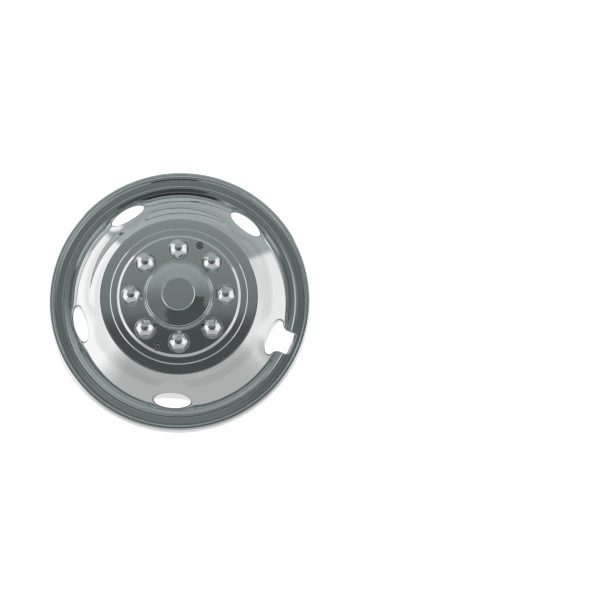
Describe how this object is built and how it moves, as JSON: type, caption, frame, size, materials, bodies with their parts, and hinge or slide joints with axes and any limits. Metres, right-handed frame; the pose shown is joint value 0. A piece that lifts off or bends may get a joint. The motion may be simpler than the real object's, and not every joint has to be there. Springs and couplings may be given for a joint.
{
  "type": "wheel simulator",
  "caption": "Domed, polished steel wheel simulator for a truck's front wheel, with hexagonal lug covers, a snap-in hub cap, hand holes and a valve notch.",
  "frame": {"origin": "on the wheel's axis, in the plane that the back rests on: the underside of the well", "axes": "+Z along the wheel's axis, outward through the hub cap; +Y up on the wheel as pictured; +X to the viewer's right"},
  "size_m": [0.4706, 0.4706, 0.077],
  "materials": {
    "stainless": "polished to a mirror",
    "cap_chrome": "mirror, on a plastic moulding",
    "cover_chrome": "mirror, on a plastic moulding",
    "spring_steel": "dark, oiled",
    "zinc_plate": "zinc plated, satin",
    "screw_steel": "zinc plated, bright"
  },
  "bodies": {
    "root": {"wheel_liner": "stainless", "hub_cap": "cap_chrome", "hub_cap_snap_ring": "spring_steel", "lug_cover_1": "cover_chrome", "lug_cover_2": "cover_chrome", "lug_cover_3": "cover_chrome", "lug_cover_4": "cover_chrome", "lug_cover_5": "cover_chrome", "lug_cover_6": "cover_chrome", "lug_cover_7": "cover_chrome", "lug_cover_8": "cover_chrome", "lug_cover_retainer_1": "spring_steel", "lug_cover_retainer_2": "spring_steel", "lug_cover_retainer_3": "spring_steel", "lug_cover_retainer_4": "spring_steel", "lug_cover_retainer_5": "spring_steel", "lug_cover_retainer_6": "spring_steel", "lug_cover_retainer_7": "spring_steel", "lug_cover_retainer_8": "spring_steel", "face_screw_1": "screw_steel", "face_screw_2": "screw_steel", "mounting_bracket_1": "zinc_plate", "mounting_bracket_2": "zinc_plate", "clip_nut_1": "spring_steel", "clip_nut_2": "spring_steel"}
  },
  "joints": []
}
